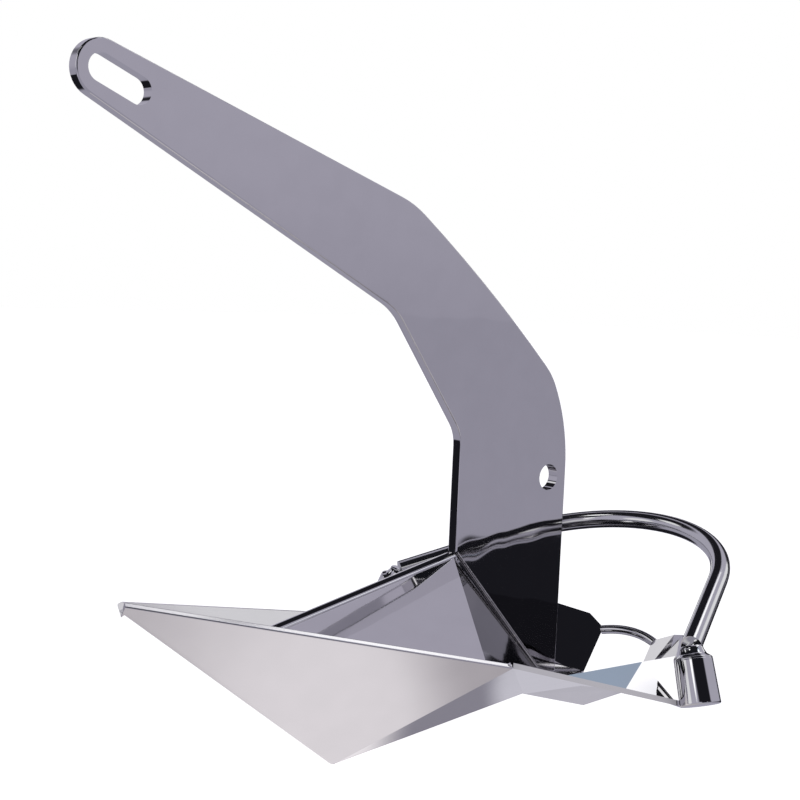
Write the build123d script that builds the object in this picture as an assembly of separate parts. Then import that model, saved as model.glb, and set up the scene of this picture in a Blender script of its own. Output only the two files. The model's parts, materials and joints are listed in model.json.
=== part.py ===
from build123d import *
import os
from math import acos, atan2, cos, degrees, hypot, radians, sin

# Fixed-shank plough anchor with a roll bar, about 20 kg, welded from stainless plate and bar.
# Every point is (aft of the tip, out from the centre plane, up from the ground line), in mm.
# The anchor points towards -X and starboard is +Y. Its keel point and stern point touch Z = 0.
# The finished parts are moved along X, so that the origin is under the middle of the whole anchor.

# ---- plate and bar stock ----
SHANK_T = 12.0
BLADE_T = 6.0
DECK_T = 4.0
WING_T = 5.0
ARM_T = 4.0
ROLL_BAR_D = 20.0
GAP = 0.05
REACH = 2000.0

# ---- shank: head, shackle slot, trip hole and the two bends ----
HEAD = (-34.0, 604.7)
HEAD_R = 23.3
SLOT_FRONT = (-35.0, 604.9)
SLOT_BACK = (-0.8, 591.2)
SLOT_R = 11.7
HOLE = (499.5, 254.7)
HOLE_R = 13.4
BACK_BEND = (298.6, 521.7)
BACK_BOW = (401.6, 444.8)
BACK_KNEE = (497.0, 362.0)
HEEL_BOW = (516.0, 322.0)
BACK_X = 525.5
BACK_STRAIGHT_FROM = 262.0
FRONT_BEND = (282.8, 422.3)
FRONT_KNEE = (372.0, 304.0)
SHANK_FOOT = 30.0
HEEL_STEP = 14.0
CORNER_ROUNDS = [(BACK_BEND, 110.0), (BACK_KNEE, 75.0), (FRONT_KNEE, 34.0), (FRONT_BEND, 60.0)]
EDGE_ROUND = 1.6
PLATE_ROUND = 1.4

# ---- hull corners, starboard side ----
TIP = (0.0, 0.0, 166.3)
NOSE_HALF = 6.7
KEEL = (226.1, 0.0, -1.5)
HEEL = (485.5, 0.0, 27.4)
STERN = (581.0, 0.0, 0.0)
BLADE = (336.0, 124.0, 104.0)
KEEL_FALL = (KEEL[2] - TIP[2]) / KEEL[0]
FLARE = (BLADE[2] - TIP[2] - KEEL_FALL * BLADE[0]) / BLADE[1]
NOSE_TOP = (0.0, NOSE_HALF, TIP[2] + FLARE * NOSE_HALF)
DECK_CORNER = (311.0, 114.8, 109.4)
RIDGE_FRONT = (75.0, 0.0, 122.5)
RIDGE_BACK = (372.0, 0.0, 187.6)
DECK_FOOT = (533.0, 6.0, 18.0)
TAIL_LOW = (617.0, 35.0, 20.0)
TAIL_HIGH = (649.0, 35.0, 70.0)
WING_PEAK = (654.0, 60.0, 81.0)
WING_TOP = (630.0, 89.3, 90.0)

# ---- feet: tapered sockets that lean in towards the centre plane ----
FOOT_LOW = (483.0, 225.0, 71.0)
FOOT_TOP = (490.3, 204.9, 121.9)
FOOT_INNER = (468.0, 212.0, 69.5)
FOOT_SHOULDER = (480.0, 197.0, 112.0)
WING_OUTER = (488.0, 199.0, 110.0)
FOOT_R_LOW = 19.5
FOOT_R_TOP = 18.2
COLLAR_H = 11.0

# ---- arms: strips that twist from the blade edge up to the feet ----
ARM_INNER_TOP = (375.0, 150.0, 97.2)
ARM_MID_LOW = (421.0, 182.0, 79.5)
ARM_MID_TOP = (463.0, 170.0, 102.6)

# ---- roll bar: two straight legs that lean in, joined by one round crown ----
BAR_RISE = 18.8
BAR_LEAN_IN = 25.5
BAR_LEG = 136.0

# ---- trip bar: a bowed rod across the stern, between the tops of the wings ----
TRIP_BAR_D = 10.0
TRIP_BAR_END = (650.4, 37.6, 66.8)
TRIP_BAR_MIDDLE = (655.6, 0.0, 71.6)

# ---- datum ----
MIDDLE_X = 325.0

# ---- lead in the closed nose, and the weld beads ----
BALLAST_FROM = 110.0
BALLAST_TO = 185.0
BALLAST_CLEAR = 0.5
RIDGE_R = 8.0
NOSE_RUN = 3.0
KEEL_R = 6.0
BEAD_R = 2.0


def flipped(point):
    """The same point on the other side of the centre plane."""
    return (point[0], -point[1], point[2])


def sheet(corners, facets, thickness, towards):
    """A folded plate of constant offset: flat facets between corners, pushed in by the thickness."""
    points = [Vector(*corner) for corner in corners]
    normal = Vector(0, 0, 0)
    for facet in facets:
        first, second, third = (points[i] for i in facet[:3])
        normal += (second - first).cross(third - first)
    normal = normal.normalized()
    if normal.dot(Vector(*towards) - points[0]) < 0:
        normal = normal * -1
    offset = normal * thickness
    inner = [point + offset for point in points]
    edges = {}
    for facet in facets:
        for start, end in zip(facet, facet[1:] + facet[:1]):
            key = (min(start, end), max(start, end))
            edges[key] = edges.get(key, 0) + 1
    faces = [Face(Wire.make_polygon([points[i] for i in facet])) for facet in facets]
    faces += [Face(Wire.make_polygon([inner[i] for i in facet])) for facet in facets]
    for (start, end), uses in edges.items():
        if uses == 1:
            side = [points[start], points[end], inner[end], inner[start]]
            faces.append(Face(Wire.make_polygon(side)))
    return Solid(Shell(faces))


def eased(plate, start, end, reach, radius):
    """A plate with the two long edges of one rim rounded; the rim runs from a start to an end."""
    start, end = Vector(*start), Vector(*end)
    along = (end - start).normalized()

    def beside(edge):
        offset = (edge @ 0.5) - start
        parallel = abs((edge % 0.5).dot(along)) > 0.999
        return parallel and (offset - along * offset.dot(along)).length < reach + 0.1

    return fillet([edge for edge in plate.edges() if beside(edge)], radius).solids()[0]


def trimmed(shape, *others):
    """The shape less the others, as its largest solid."""
    for other in others:
        shape = shape - other
    return max(shape.solids(), key=lambda solid: solid.volume)


def starboard_half(shape):
    """The part of a shape that is clear of the centre plane, to starboard."""
    return trimmed(shape, Pos(0, GAP - REACH / 2, 0) * Box(REACH, REACH, REACH))


def port_copy(shape):
    return shape.mirror(Plane.XZ)


def tangent_point(corner, centre, radius, side):
    """Where a line from a corner touches a circle, in the plane of the shank."""
    dx, dz = corner[0] - centre[0], corner[1] - centre[1]
    distance = hypot(dx, dz)
    angle = atan2(dz, dx) + side * acos(radius / distance)
    return (centre[0] + radius * cos(angle), centre[1] + radius * sin(angle))


def cone_between(low, high, low_radius, high_radius):
    """A round bar or cone from one point to another."""
    axis = Vector(*high) - Vector(*low)
    base = Plane(origin=low, z_dir=axis)
    if low_radius == high_radius:
        return base * extrude(Circle(low_radius), axis.length)
    return base * Solid.make_cone(low_radius, high_radius, axis.length)


def hoop(end, rise, lean_in, leg, diameter):
    """A symmetric bar: two straight legs that lean in, and a round crown tangent to both."""
    rise, lean_in = radians(rise), radians(lean_in)
    half_width = end[1]

    def point(out, along):
        return (end[0] + along * cos(rise), out, end[2] + along * sin(rise))

    out = half_width - leg * sin(lean_in)
    along = leg * cos(lean_in)
    crown_radius = out / cos(lean_in)
    crown_top = along - crown_radius * sin(lean_in) + crown_radius
    path = Wire([
        Line(point(half_width, 0), point(out, along)),
        ThreePointArc(point(out, along), point(0, crown_top), point(-out, along)),
        Line(point(-out, along), point(-half_width, 0)),
    ])
    section = Plane(origin=path @ 0, z_dir=path % 0) * Circle(diameter / 2)
    return sweep(section, path).solids()[0]


def corner_near(face, point):
    """The vertex of a flat face that lies nearest to a point."""
    return min(face.vertices(), key=lambda vertex: hypot(vertex.X - point[0], vertex.Y - point[1]))


def shank_plate():
    """The cranked shank, cut from one plate: slotted head, two bends, upright foot, trip hole."""
    head_top = tangent_point(BACK_BEND, HEAD, HEAD_R, 1)
    head_low = tangent_point(FRONT_BEND, HEAD, HEAD_R, -1)
    head_end = (HEAD[0] - HEAD_R, HEAD[1])
    outline = Wire([
        Line(head_top, BACK_BEND),
        ThreePointArc(BACK_BEND, BACK_BOW, BACK_KNEE),
        ThreePointArc(BACK_KNEE, HEEL_BOW, (BACK_X, BACK_STRAIGHT_FROM)),
        Line((BACK_X, BACK_STRAIGHT_FROM), (BACK_X, SHANK_FOOT)),
        Line((BACK_X, SHANK_FOOT), (HEEL[0], SHANK_FOOT + HEEL_STEP)),
        Line((HEEL[0], SHANK_FOOT + HEEL_STEP), (FRONT_KNEE[0], SHANK_FOOT)),
        Line((FRONT_KNEE[0], SHANK_FOOT), FRONT_KNEE),
        Line(FRONT_KNEE, FRONT_BEND),
        Line(FRONT_BEND, head_low),
        ThreePointArc(head_low, head_end, head_top),
    ])
    face = Face(outline)
    for corner, radius in CORNER_ROUNDS:
        face = face.fillet_2d(radius, [corner_near(face, corner)])
    plate = Plane.XZ * extrude(face, SHANK_T / 2, both=True)
    rims = [edge for edge in plate.edges() if is_free_rim(edge)]
    plate = fillet(rims, EDGE_ROUND)
    slot_dx, slot_dz = SLOT_BACK[0] - SLOT_FRONT[0], SLOT_BACK[1] - SLOT_FRONT[1]
    slot_middle = ((SLOT_BACK[0] + SLOT_FRONT[0]) / 2, (SLOT_BACK[1] + SLOT_FRONT[1]) / 2)
    slot = Pos(*slot_middle) * Rot(0, 0, degrees(atan2(slot_dz, slot_dx)))
    slot = slot * SlotCenterToCenter(hypot(slot_dx, slot_dz), 2 * SLOT_R)
    cuts = [slot, Pos(*HOLE) * Circle(HOLE_R)]
    for cut in cuts:
        plate = plate - Plane.XZ * extrude(cut, SHANK_T, both=True)
    return plate.solids()[0]


def is_free_rim(edge):
    """True for the edges of the shank's two faces, above the deck."""
    middle = edge @ 0.5
    on_face = abs(abs(middle.Y) - SHANK_T / 2) < 0.01
    along_face = abs((edge @ 0).Y - (edge @ 1).Y) < 0.01
    return on_face and along_face and middle.Z > SHANK_FOOT + 20


def hull_plates(grooves):
    """The starboard bottom of the fluke: the keel's two sides, the stern and the bilge."""
    inside = (400.0, 40.0, 120.0)
    front = sheet([TIP, KEEL, BLADE, NOSE_TOP], [(0, 1, 2, 3)], BLADE_T, inside)
    front = trimmed(starboard_half(eased(front, NOSE_TOP, BLADE, BLADE_T, PLATE_ROUND)), *grooves)
    rear = starboard_half(sheet([KEEL, HEEL, BLADE], [(0, 1, 2)], BLADE_T, inside))
    stern = starboard_half(sheet([HEEL, STERN, TAIL_LOW], [(0, 1, 2)], WING_T, inside))
    bilge = sheet([HEEL, TAIL_LOW, BLADE, FOOT_INNER], [(0, 1, 2), (2, 1, 3)], WING_T, inside)
    bilge = starboard_half(bilge)
    rear = trimmed(rear, front, *grooves)
    stern = trimmed(stern, rear)
    bilge = trimmed(bilge, front, rear, stern)
    return {"keel_front_plate": front, "keel_rear_plate": rear, "stern_plate": stern, "bilge_plate": bilge}


def feet():
    """A tapered socket and the cone that closes it round the roll bar."""
    axis = Vector(*FOOT_TOP) - Vector(*FOOT_LOW)
    shoulder = Vector(*FOOT_TOP) - axis.normalized() * COLLAR_H
    socket = cone_between(FOOT_LOW, shoulder, FOOT_R_LOW, FOOT_R_TOP)
    collar = cone_between(shoulder, FOOT_TOP, FOOT_R_TOP, ROLL_BAR_D / 2 + 1)
    return socket.solids()[0], collar.solids()[0]


def inner_level(corners, thickness, towards):
    """The inner face of a flat plate, as a function that gives its height at a place."""
    first, second, third = (Vector(*corner) for corner in corners)
    normal = (second - first).cross(third - first).normalized()
    if normal.dot(Vector(*towards) - first) < 0:
        normal = normal * -1
    start = first + normal * thickness

    def height(x, y):
        return start.Z - ((x - start.X) * normal.X + (y - start.Y) * normal.Y) / normal.Z

    return height


def ballast():
    """Lead poured into the closed nose, between the keel plates and the deck."""
    keel = inner_level([TIP, KEEL, BLADE], BLADE_T + BALLAST_CLEAR, (400, 0, 120))
    deck = inner_level([RIDGE_FRONT, RIDGE_BACK, DECK_CORNER], DECK_T + BALLAST_CLEAR, (400, 0, 20))
    ends = []
    for x in (BALLAST_FROM, BALLAST_TO):
        low, high = keel(x, 0), deck(x, 0)
        keel_slope, deck_slope = keel(x, 1) - low, deck(x, 1) - high
        side = (high - low) / (keel_slope - deck_slope)
        corner = low + keel_slope * side
        section = [(x, 0, low), (x, side, corner), (x, 0, high), (x, -side, corner)]
        ends.append(Face(Wire.make_polygon(section)))
    return loft(ends).solids()[0]


def seam_centre(start, end, side, radius, inward):
    """The centre line of a round seam that is tangent to two mirrored plates, which meet in a line."""
    start, end = Vector(*start), Vector(*end)
    normal = (end - start).cross(Vector(*side) - start).normalized()
    across = (end - start).cross(Vector(0, 1, 0)).normalized()
    if across.Z * inward < 0:
        across = across * -1
    shift = across * (radius / abs(normal.dot(across)))
    return start + shift, end + shift


def seam_groove(start, end, side, radius, inward):
    """The sharp corner that a round seam takes the place of, as a box along the seam."""
    centre, _ = seam_centre(start, end, side, radius, inward)
    start, end = Vector(*start), Vector(*end)
    depth = (start - centre).length
    half_width = radius * (depth * depth - radius * radius) ** 0.5 / depth
    length = (end - start).length
    frame = Plane(origin=centre, x_dir=(0, 1, 0), z_dir=end - start)
    groove = Box(2 * half_width, depth * 2, length)
    outside = frame.to_local_coords(start).Y
    return frame * Pos(0, outside, length / 2) * groove


def crossing(first, second):
    """Where two lines in the centre plane cross."""
    (a, b), (c, d) = first, second
    step, other = b - a, d - c
    share = ((c.X - a.X) * other.Z - (c.Z - a.Z) * other.X) / (step.X * other.Z - step.Z * other.X)
    return a + step * share


def keel_seams():
    """The rounded keel: two ground seams that meet in a ball at the keel point, and their grooves."""
    front = seam_centre(TIP, KEEL, BLADE, KEEL_R, 1)
    rear = seam_centre(KEEL, HEEL, BLADE, KEEL_R, 1)
    knee = crossing(front, rear)
    nose = front[0] - (front[1] - front[0]).normalized() * NOSE_RUN
    front_bead = cone_between(nose, knee, KEEL_R, KEEL_R) + Pos(*knee) * Sphere(KEEL_R)
    rear_bead = cone_between(knee, rear[1], KEEL_R, KEEL_R)
    rim = Vector(BLADE[0] - NOSE_TOP[0], 0, BLADE[2] - NOSE_TOP[2])
    above = Plane(origin=(NOSE_TOP[0], 0, NOSE_TOP[2]), x_dir=rim, z_dir=rim.cross(Vector(0, 1, 0)))
    front_bead = front_bead - above * Pos(0, 0, REACH / 2) * Box(REACH, REACH, REACH)
    grooves = [seam_groove(TIP, KEEL, BLADE, KEEL_R, 1), seam_groove(KEEL, HEEL, BLADE, KEEL_R, 1)]
    return front_bead, rear_bead, grooves


def ridge_seam():
    """The round ridge between the front deck plates, and its groove."""
    start, end = seam_centre(RIDGE_FRONT, RIDGE_BACK, DECK_CORNER, RIDGE_R, -1)
    groove = seam_groove(RIDGE_FRONT, RIDGE_BACK, DECK_CORNER, RIDGE_R, -1)
    return cone_between(start, end, RIDGE_R, RIDGE_R), groove


def shank_weld(side):
    """The bead where a rear deck plate meets the shank; side is 1 to starboard, -1 to port."""
    top = (RIDGE_BACK[0], side * DECK_FOOT[1], RIDGE_BACK[2])
    foot = (DECK_FOOT[0], side * DECK_FOOT[1], DECK_FOOT[2])
    return cone_between(top, foot, BEAD_R, BEAD_R)


def build():
    front_bead, rear_bead, grooves = keel_seams()
    hull = hull_plates(grooves)
    socket, collar = feet()
    hull["bilge_plate"] = trimmed(hull["bilge_plate"], socket, collar)
    hull_solids = list(hull.values())
    hull_both = hull_solids + [port_copy(solid) for solid in hull_solids]
    feet_both = [socket, collar, port_copy(socket), port_copy(collar)]

    shank = trimmed(shank_plate(), *hull_both)
    bar = trimmed(hoop(FOOT_TOP, BAR_RISE, BAR_LEAN_IN, BAR_LEG, ROLL_BAR_D), *feet_both)
    ridge, ridge_groove = ridge_seam()

    below = (400.0, 0.0, 20.0)
    deck_front = sheet([RIDGE_FRONT, RIDGE_BACK, DECK_CORNER], [(0, 1, 2)], DECK_T, below)
    deck_front = trimmed(starboard_half(deck_front), shank, ridge_groove, *hull_solids)
    deck_rear = sheet([RIDGE_BACK, DECK_CORNER, DECK_FOOT], [(0, 1, 2)], DECK_T, below)
    deck_rear = trimmed(starboard_half(deck_rear), shank, deck_front, *hull_solids)

    wing = sheet([TAIL_LOW, TAIL_HIGH, WING_PEAK, WING_TOP, WING_OUTER, FOOT_INNER],
                 [(0, 1, 2), (0, 2, 3), (0, 3, 4), (0, 4, 5)], WING_T, (700.0, 300.0, 0.0))
    wing = trimmed(wing, socket, collar, *hull_solids)
    arm = sheet([BLADE, ARM_MID_LOW, FOOT_INNER, FOOT_SHOULDER, ARM_MID_TOP, ARM_INNER_TOP],
                [(0, 1, 5), (5, 1, 4), (1, 2, 4), (4, 2, 3)], ARM_T, (600.0, 150.0, 90.0))
    arm = trimmed(arm, socket, collar, *hull_solids, wing)

    paired = dict(hull, deck_front_plate=deck_front, deck_rear_plate=deck_rear, wing_plate=wing,
                  wing_arm=arm, foot_socket=socket, foot_collar=collar)
    parts = {}
    for name, solid in paired.items():
        parts["starboard_" + name] = solid
        parts["port_" + name] = port_copy(solid)
    whole = list(parts.values()) + [shank]

    parts["front_keel_weld"] = trimmed(front_bead, *whole)
    parts["rear_keel_weld"] = trimmed(rear_bead, parts["front_keel_weld"], *whole)
    parts["ridge_weld"] = trimmed(ridge, parts["front_keel_weld"], *whole)
    whole += [parts["front_keel_weld"], parts["ridge_weld"]]
    parts["nose_ballast"] = trimmed(ballast(), *whole)
    parts["starboard_shank_weld"] = trimmed(shank_weld(1), *whole)
    parts["port_shank_weld"] = trimmed(shank_weld(-1), *whole)
    bow = ThreePointArc(flipped(TRIP_BAR_END), TRIP_BAR_MIDDLE, TRIP_BAR_END)
    trip_bar = sweep(Plane(origin=bow @ 0, z_dir=bow % 0) * Circle(TRIP_BAR_D / 2), bow)
    parts["trip_bar"] = trimmed(trip_bar, *whole)
    parts["shank"] = shank
    parts["roll_bar"] = bar
    return parts


os.makedirs("parts", exist_ok=True)
for node, solid in build().items():
    print(node, round(solid.volume), solid.is_valid)
    export_step(Pos(-MIDDLE_X, 0, 0) * solid, f"parts/{node}.step")
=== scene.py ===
import json
import math

import bpy
from mathutils import Matrix, Vector


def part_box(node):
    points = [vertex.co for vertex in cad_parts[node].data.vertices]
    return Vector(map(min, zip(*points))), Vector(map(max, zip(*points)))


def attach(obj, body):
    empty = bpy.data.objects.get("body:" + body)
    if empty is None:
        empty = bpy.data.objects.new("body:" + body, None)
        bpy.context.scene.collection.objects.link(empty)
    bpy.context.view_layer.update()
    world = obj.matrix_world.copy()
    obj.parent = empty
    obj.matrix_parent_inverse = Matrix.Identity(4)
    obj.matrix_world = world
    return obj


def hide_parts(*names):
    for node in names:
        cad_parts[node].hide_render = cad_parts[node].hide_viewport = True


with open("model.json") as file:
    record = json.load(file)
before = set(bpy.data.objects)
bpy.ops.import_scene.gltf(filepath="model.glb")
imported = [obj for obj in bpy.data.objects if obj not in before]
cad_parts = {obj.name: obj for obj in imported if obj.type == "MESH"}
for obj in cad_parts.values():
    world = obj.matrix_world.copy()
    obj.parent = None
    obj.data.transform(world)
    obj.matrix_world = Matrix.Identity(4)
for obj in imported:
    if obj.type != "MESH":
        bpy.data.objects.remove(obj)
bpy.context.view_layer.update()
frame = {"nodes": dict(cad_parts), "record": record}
NODES = frame["nodes"]

# ---- camera: 67 mm lens, off the port bow and 0.45 m up ----
LENS_MM = 67.41
SENSOR_MM = 36.0
CLIP_NEAR, CLIP_FAR = 0.05, 30.0
CAMERA_AT = Vector((-0.9642, -1.0431, 0.4529))
CAMERA_RIGHT = Vector((0.7465, -0.6639, 0.0436))
CAMERA_DOWN = Vector((-0.0218, -0.0898, -0.9957))

# ---- floor ----
FLOOR_HALF = 12.0
FLOOR_DROP = 0.0004
FLOOR_BASE = 0.8
FLOOR_ROUGHNESS = 0.9
FLOOR_GLOW = 0.92


def linear(red, green, blue):
    return (red, green, blue, 1.0)


class Tree:
    """A short way to write node trees: math, dot, ramp, mix and noise each return an output socket."""

    def __init__(self, tree):
        self.tree = tree
        tree.nodes.clear()

    def node(self, kind, **settings):
        made = self.tree.nodes.new(kind)
        for name, value in settings.items():
            setattr(made, name, value)
        return made

    def feed(self, socket, value):
        if isinstance(value, bpy.types.NodeSocket):
            self.tree.links.new(value, socket)
        else:
            socket.default_value = value

    def math(self, operation, first, second=0.0, third=0.0):
        made = self.node("ShaderNodeMath", operation=operation)
        for socket, value in zip(made.inputs, (first, second, third)):
            self.feed(socket, value)
        return made.outputs[0]

    def dot(self, vector, direction):
        made = self.node("ShaderNodeVectorMath", operation="DOT_PRODUCT")
        self.feed(made.inputs[0], vector)
        made.inputs[1].default_value = direction
        return made.outputs["Value"]

    def ramp(self, value, low, high, to_low=0.0, to_high=1.0):
        made = self.node("ShaderNodeMapRange", interpolation_type="SMOOTHSTEP")
        for socket, number in zip(made.inputs[:5], (value, low, high, to_low, to_high)):
            self.feed(socket, number)
        return made.outputs[0]

    def mix(self, share, first, second):
        made = self.node("ShaderNodeMix", data_type="RGBA")
        self.feed(made.inputs[0], share)
        self.feed(made.inputs[6], first)
        self.feed(made.inputs[7], second)
        return made.outputs[2]

    def noise(self, scale, detail, vector, stretch=None):
        made = self.node("ShaderNodeTexNoise")
        made.inputs["Scale"].default_value = scale
        made.inputs["Detail"].default_value = detail
        if stretch is not None:
            mapping = self.node("ShaderNodeMapping")
            mapping.inputs["Scale"].default_value = stretch
            self.feed(mapping.inputs["Vector"], vector)
            vector = mapping.outputs[0]
        self.feed(made.inputs["Vector"], vector)
        return made.outputs["Fac"]


# ---- the studio: only reflections and light see this pattern, and the camera sees plain white ----
PLAIN_WHITE = linear(1.0, 1.0, 1.0)
ROOM = linear(0.47, 0.455, 0.545)
LOW_ROOM = linear(0.38, 0.37, 0.45)
BLACK = linear(0.012, 0.012, 0.016)
WHITE = linear(1.5, 1.5, 1.53)
BRIGHT = linear(0.92, 0.92, 0.95)
BLUE = linear(0.40, 0.49, 0.62)
HORIZON = (-0.10, 0.12)

# Each card is (direction from the anchor, angle where it is full, angle where it ends, light).
# Later cards lie on top. They are placed for the reflections seen from this camera.
CARDS = [
    ((-0.30, -0.35, 0.88), 38.0, 43.0, BLACK),
    ((-0.30, 0.53, 0.75), 24.0, 30.0, BLACK),
    ((-0.25, -0.93, 0.30), 24.0, 31.0, BLACK),
    ((-0.19, -0.95, 0.23), 2.5, 4.5, linear(0.62, 0.61, 0.66)),
    ((-0.54, 0.18, 0.82), 5.0, 7.0, WHITE),
    ((0.93, 0.33, 0.0), 18.0, 25.0, BLACK),
    ((0.52, 0.64, 0.55), 14.0, 18.0, BLACK),
    ((0.48, 0.43, 0.77), 11.0, 14.0, BLACK),
    ((0.62, 0.10, 0.78), 7.0, 10.0, WHITE),
    ((-0.42, 0.74, 0.52), 7.0, 9.0, BRIGHT),
    ((-0.90, 0.42, 0.15), 9.0, 14.0, BRIGHT),
    ((0.62, 0.78, 0.0), 7.0, 11.0, BRIGHT),
    ((0.95, 0.0, 0.30), 8.0, 11.0, BRIGHT),
    ((-0.86, -0.20, 0.47), 6.0, 8.0, WHITE),
    ((0.41, -0.28, 0.86), 7.5, 10.5, BLUE),
    ((0.40, -0.24, 0.885), 4.5, 6.5, WHITE),
]

# The floor as the anchor sees it is a glow of painted light and painted shadow: a white sheet of painted
# light under the bow, then the grey room.
# Each patch on it is (middle, radius where it is full, radius where it ends, light).
# Later patches lie on top.
SHEET_MIDDLE = (-0.12, -0.05, 0.0)
SHEET_FADE = (0.04, 0.24)
SHEET_EDGE = (0.26, 0.40)
SHEET_LIGHT = linear(0.98, 0.94, 0.97)
SHEET_RIM_LIGHT = linear(0.64, 0.61, 0.64)
FLOOR_LIGHT_AND_SHADOW_PATCHES = [
    ((0.06, -0.20, 0.0), 0.08, 0.17, linear(0.54, 0.51, 0.54)),
    # painted shadow: this dim patch under the anchor's stern stands in for the floor's shadow beneath the
    # anchor
    ((0.09, -0.01, 0.0), 0.07, 0.15, linear(0.27, 0.26, 0.31)),
    ((0.22, -0.02, 0.0), 0.06, 0.10, linear(0.62, 0.61, 0.68)),
    ((0.42, 0.20, 0.0), 0.13, 0.17, BLACK),
    ((0.58, -0.46, 0.0), 0.33, 0.37, BLACK),
    ((0.95, -0.30, 0.0), 0.48, 0.52, BLACK),
    ((2.10, 0.80, 0.0), 0.90, 1.30, BLACK),
    ((3.90, -0.10, 0.0), 0.90, 1.30, linear(0.20, 0.20, 0.22)),
    ((-1.90, 0.13, 0.0), 0.40, 0.60, linear(0.66, 0.64, 0.76)),
    ((-1.35, 1.45, 0.0), 1.00, 1.15, BLACK),
]


def studio_light():
    """A grey room with a dark ceiling, dark cards beside the lens and astern, and small white soft boxes."""
    world = bpy.data.worlds.new("studio")
    bpy.context.scene.world = world
    world.use_nodes = True
    t = Tree(world.node_tree)
    way = t.node("ShaderNodeTexCoord").outputs["Generated"]
    up = t.dot(way, (0.0, 0.0, 1.0))
    colour = t.mix(t.ramp(up, *HORIZON), LOW_ROOM, ROOM)
    for direction, full, end, light in CARDS:
        toward = t.dot(way, Vector(direction).normalized())
        share = t.ramp(toward, math.cos(math.radians(end)), math.cos(math.radians(full)))
        colour = t.mix(share, colour, light)
    seen = t.node("ShaderNodeLightPath").outputs["Is Camera Ray"]
    colour = t.mix(seen, colour, PLAIN_WHITE)
    background = t.node("ShaderNodeBackground")
    t.feed(background.inputs["Color"], colour)
    output = t.node("ShaderNodeOutputWorld")
    t.tree.links.new(background.outputs[0], output.inputs["Surface"])


def floor_light(t):
    """The light that the floor sends to the anchor, as a colour socket."""
    place = t.node("ShaderNodeNewGeometry").outputs["Position"]

    def away(middle):
        made = t.node("ShaderNodeVectorMath", operation="DISTANCE")
        t.feed(made.inputs[0], place)
        made.inputs[1].default_value = middle
        return made.outputs["Value"]

    far = away(SHEET_MIDDLE)
    colour = t.mix(t.ramp(far, *SHEET_FADE), SHEET_LIGHT, SHEET_RIM_LIGHT)
    colour = t.mix(t.ramp(far, *SHEET_EDGE), colour, LOW_ROOM)
    for middle, full, end, light in FLOOR_LIGHT_AND_SHADOW_PATCHES:
        colour = t.mix(t.ramp(away(middle), full, end), light, colour)
    return colour


def floor():
    """A floor that is pale to the camera and a pattern of light and dark to everything else."""
    mesh = bpy.data.meshes.new("studio_floor")
    around = ((-1, -1), (1, -1), (1, 1), (-1, 1))
    corners = [(x * FLOOR_HALF, y * FLOOR_HALF, -FLOOR_DROP) for x, y in around]
    mesh.from_pydata(corners, [], [(0, 1, 2, 3)])
    piece = bpy.data.objects.new("studio_floor", mesh)
    bpy.context.scene.collection.objects.link(piece)
    material = bpy.data.materials.new("pale_floor")
    material.use_nodes = True
    t = Tree(material.node_tree)
    pale = t.node("ShaderNodeBsdfPrincipled")
    pale.inputs["Base Color"].default_value = linear(FLOOR_BASE, FLOOR_BASE, FLOOR_BASE)
    pale.inputs["Roughness"].default_value = FLOOR_ROUGHNESS
    pale.inputs["Specular IOR Level"].default_value = 0.0
    pale.inputs["Emission Color"].default_value = PLAIN_WHITE
    pale.inputs["Emission Strength"].default_value = FLOOR_GLOW
    lit = t.node("ShaderNodeEmission")
    t.feed(lit.inputs["Color"], floor_light(t))
    seen = t.node("ShaderNodeLightPath").outputs["Is Camera Ray"]
    both = t.node("ShaderNodeMixShader")
    t.feed(both.inputs[0], seen)
    t.tree.links.new(lit.outputs[0], both.inputs[1])
    t.tree.links.new(pale.outputs[0], both.inputs[2])
    output = t.node("ShaderNodeOutputMaterial")
    t.tree.links.new(both.outputs[0], output.inputs["Surface"])
    mesh.materials.append(material)


def camera():
    data = bpy.data.cameras.new("camera")
    data.lens = LENS_MM
    data.sensor_width = SENSOR_MM
    data.clip_start, data.clip_end = CLIP_NEAR, CLIP_FAR
    made = bpy.data.objects.new("camera", data)
    bpy.context.scene.collection.objects.link(made)
    right = CAMERA_RIGHT.normalized()
    up = (-CAMERA_DOWN - right * right.dot(-CAMERA_DOWN)).normalized()
    back = right.cross(up)
    made.matrix_world = Matrix.LocRotScale(CAMERA_AT, Matrix((right, up, back)).transposed(), None)
    bpy.context.scene.camera = made


# ---- metals ----
STEEL = (0.70, 0.69, 0.70)
BAR_STEEL = (0.72, 0.72, 0.72)
# painted shade: the rear deck's steel, darkened in its base colour to stand in for the dark it reflects
SHADED_STEEL = (0.15, 0.145, 0.15)
WELD_STEEL = (0.50, 0.49, 0.48)
TINT = 0.03
HAZE_SCALE, HAZE_DETAIL = 38.0, 4.0
LINE_SCALE, LINE_STRETCH = 900.0, (1.0, 1.0, 0.05)
FOOT_WAVE_SCALE = 26.0
# The shank's waves are full below the first height and gone above the second.
WAVY_TO, WAVY_FROM = 0.20, 0.27


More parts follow.
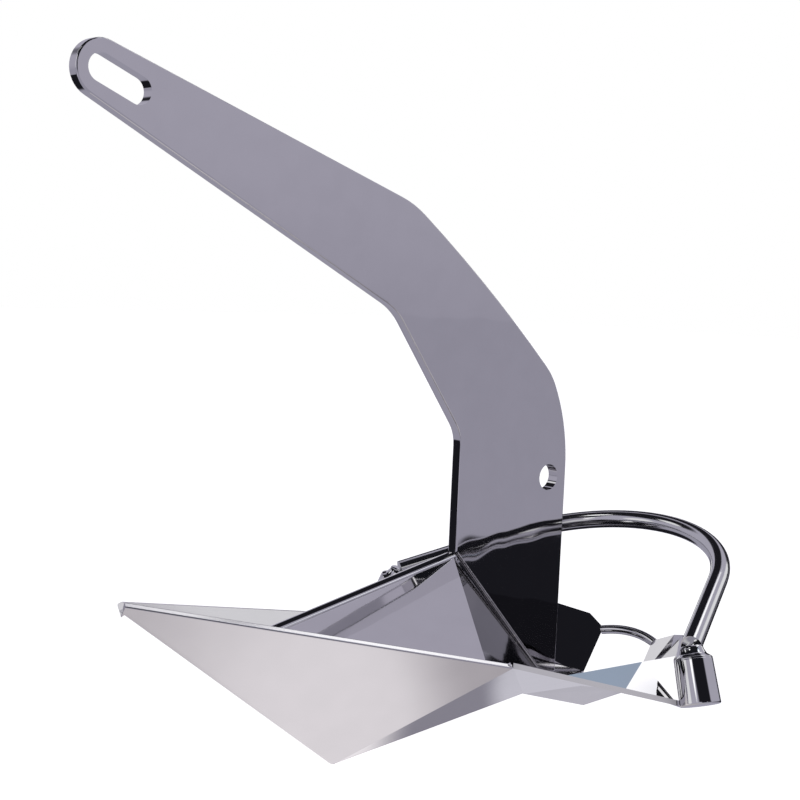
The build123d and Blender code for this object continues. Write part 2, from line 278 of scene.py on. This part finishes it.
def polished_steel(name, base, roughness, ripple, ripple_size, foot_ripple=0.0):
    """Polished stainless steel: slight waves from the buffing, faint haze and fine lines."""
    material = bpy.data.materials.new(name)
    material.use_nodes = True
    t = Tree(material.node_tree)
    place = t.node("ShaderNodeTexCoord").outputs["Object"]
    wave = t.noise(1.0 / ripple_size, 2.0, place)
    haze = t.noise(HAZE_SCALE, HAZE_DETAIL, place)
    lines = t.noise(LINE_SCALE, 2.0, place, LINE_STRETCH)
    shader = t.node("ShaderNodeBsdfPrincipled")
    shader.inputs["Metallic"].default_value = 1.0
    shade = t.ramp(haze, 0.25, 0.75)
    dark = linear(*(channel * (1 - TINT) for channel in base))
    t.feed(shader.inputs["Base Color"], t.mix(shade, dark, linear(*base)))
    rough = t.math("MULTIPLY_ADD", haze, roughness * 0.6, roughness * 0.6)
    rough = t.math("MULTIPLY_ADD", lines, roughness * 0.3, rough)
    t.feed(shader.inputs["Roughness"], rough)
    height = t.math("MULTIPLY", wave, ripple)
    if foot_ripple:
        split = t.node("ShaderNodeSeparateXYZ")
        t.feed(split.inputs[0], place)
        near_foot = t.ramp(split.outputs["Z"], WAVY_TO, WAVY_FROM, foot_ripple, 0.0)
        height = t.math("MULTIPLY_ADD", t.noise(FOOT_WAVE_SCALE, 0.0, place), near_foot, height)
    bump = t.node("ShaderNodeBump")
    bump.inputs["Strength"].default_value = 1.0
    bump.inputs["Distance"].default_value = 1.0
    t.feed(bump.inputs["Height"], height)
    t.tree.links.new(bump.outputs[0], shader.inputs["Normal"])
    output = t.node("ShaderNodeOutputMaterial")
    t.tree.links.new(shader.outputs[0], output.inputs["Surface"])
    return material


def dress():
    """Gives every CAD node its metal. The rear deck is the same steel with painted shade: its base colour is
    darkened to stand in for the dark it reflects.
    """
    shank = polished_steel("polished_shank", STEEL, 0.03, 0.0006, 0.12, foot_ripple=0.0005)
    plate = polished_steel("polished_plate", STEEL, 0.035, 0.0002, 0.10)
    satin = polished_steel("satin_keel", STEEL, 0.16, 0.0003, 0.06)
    bar = polished_steel("polished_bar", BAR_STEEL, 0.10, 0.0001, 0.05)
    foot = polished_steel("polished_foot", BAR_STEEL, 0.035, 0.00001, 0.05)
    shaded = polished_steel("shaded_plate", SHADED_STEEL, 0.05, 0.0002, 0.10)
    weld = polished_steel("weld_metal", WELD_STEEL, 0.08, 0.0004, 0.006)
    by_slot = {"polished_shank": shank, "polished_bar": bar, "weld_metal": weld}
    for entry in frame["record"]["subparts"]:
        node, slot = entry["node"], entry["material_slot"]
        material = by_slot.get(slot, plate)
        if "keel" in node:
            material = satin
        # painted shade on the rear deck plates
        if "deck_rear" in node:
            material = shaded
        mesh = NODES[node].data
        mesh.materials.clear()
        mesh.materials.append(material)
    feet(foot)
    ridge_bead(plate)


# ---- round pieces: a smooth skin over rings of points ----
TURNS = 128


def ring(centre, first, second):
    """Points around a centre, from two spokes at right angles."""
    angles = [2 * math.pi * step / TURNS for step in range(TURNS)]
    return [centre + first * math.cos(angle) + second * math.sin(angle) for angle in angles]


def skin(name, rings, material, capped):
    """A smooth piece over the rings in order; capped closes the last one."""
    faces = []
    for low in range(0, (len(rings) - 1) * TURNS, TURNS):
        high = low + TURNS
        for step in range(TURNS):
            after = (step + 1) % TURNS
            faces.append((low + step, low + after, high + after, high + step))
    if capped:
        faces.append(tuple(range((len(rings) - 1) * TURNS, len(rings) * TURNS)))
    mesh = bpy.data.meshes.new(name)
    mesh.from_pydata([point for points in rings for point in points], [], faces)
    mesh.validate()
    for face in mesh.polygons:
        face.use_smooth = True
    mesh.materials.append(material)
    piece = bpy.data.objects.new(name, mesh)
    bpy.context.scene.collection.objects.link(piece)
    return piece


# ---- feet: one turned profile each, from the bottom edge to the roll bar, split at the collar ----
# The axis starts inside the outer low corner of the socket's box, and leans inboard and aft.
FOOT_INSET = Vector((0.01932, 0.01816, 0.00755))
FOOT_LEAN = Vector((0.0073, 0.0201, 0.0509))
# Each profile point is (radius, distance up the axis).
SOCKET_PROFILE = [(0.0, 0.0), (0.0178, 0.0), (0.0184, 0.0001), (0.0189, 0.0005), (0.0191, 0.0011),
                  (0.01908, 0.0019), (0.01795, 0.0412), (0.0179, 0.0420)]
COLLAR_PROFILE = [(0.0179, 0.0420), (0.01786, 0.0430), (0.0175, 0.0437), (0.0170, 0.0441), (0.0142, 0.0462),
                  (0.0136, 0.0466), (0.0130, 0.0474), (0.0113, 0.0510), (0.0110, 0.0518), (0.0107, 0.0545)]


def turned(name, profile, side, material):
    """A smooth solid of revolution about a foot's axis; side is 1 to starboard, -1 to port."""
    lowest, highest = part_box("starboard_foot_socket")
    outer = Vector((lowest[0], highest[1], lowest[2]))
    low = outer + Vector((FOOT_INSET.x, -FOOT_INSET.y, FOOT_INSET.z))
    low.y *= side
    axis = Vector((FOOT_LEAN.x, -side * FOOT_LEAN.y, FOOT_LEAN.z)).normalized()
    across = axis.orthogonal().normalized()
    third = axis.cross(across)
    rings = [ring(low + axis * along, across * radius, third * radius) for radius, along in profile]
    return skin(name, rings, material, capped=True)


def feet(material):
    for side, word in ((1, "starboard"), (-1, "port")):
        for part, profile in (("socket", SOCKET_PROFILE), ("collar", COLLAR_PROFILE)):
            node = word + "_foot_" + part
            piece = turned("turned_" + node, profile, side, material)
            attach(piece, "root")
            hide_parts(node)


# ---- the ground bead along the ridge: a low oval bead between the two front deck plates ----
# Its ends are measured from the low and high corners of the ridge seam's box.
BEAD_FRONT_IN = Vector((0.00789, 0.0, 0.01537))
BEAD_BACK_IN = Vector((-0.00112, 0.0, 0.00106))
BEAD_HALF_WIDTH = 0.0075
BEAD_HALF_HEIGHT = 0.0030
BEAD_DROP = 0.0035


def ridge_bead(material):
    lowest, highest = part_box("ridge_weld")
    front = Vector((lowest[0], 0.0, lowest[2])) + BEAD_FRONT_IN
    back = Vector((highest[0], 0.0, highest[2])) + BEAD_BACK_IN
    along = (back - front).normalized()
    across = Vector((0.0, 1.0, 0.0))
    wide = across * BEAD_HALF_WIDTH
    tall = along.cross(across) * BEAD_HALF_HEIGHT
    drop = Vector((0.0, 0.0, BEAD_DROP))
    rings = [ring(centre - drop, wide, tall) for centre in (front, back)]
    piece = skin("ridge_bead", rings, material, capped=False)
    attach(piece, "root")


# ---- eased edges on the plates ----
EASED = ("keel_front_plate", "deck_front_plate", "deck_rear_plate", "wing_plate", "wing_arm")
EASE = 0.0009
EASE_ANGLE = 35.0
EASE_SEGMENTS = 3


def ease_edges():
    for name, piece in NODES.items():
        if name.endswith(EASED):
            bevel = piece.modifiers.new("eased_edges", "BEVEL")
            bevel.width = EASE
            bevel.segments = EASE_SEGMENTS
            bevel.limit_method = "ANGLE"
            bevel.angle_limit = math.radians(EASE_ANGLE)
            bevel.harden_normals = True


bpy.context.scene.view_settings.view_transform = "Standard"
studio_light()
floor()
camera()
dress()
ease_edges()
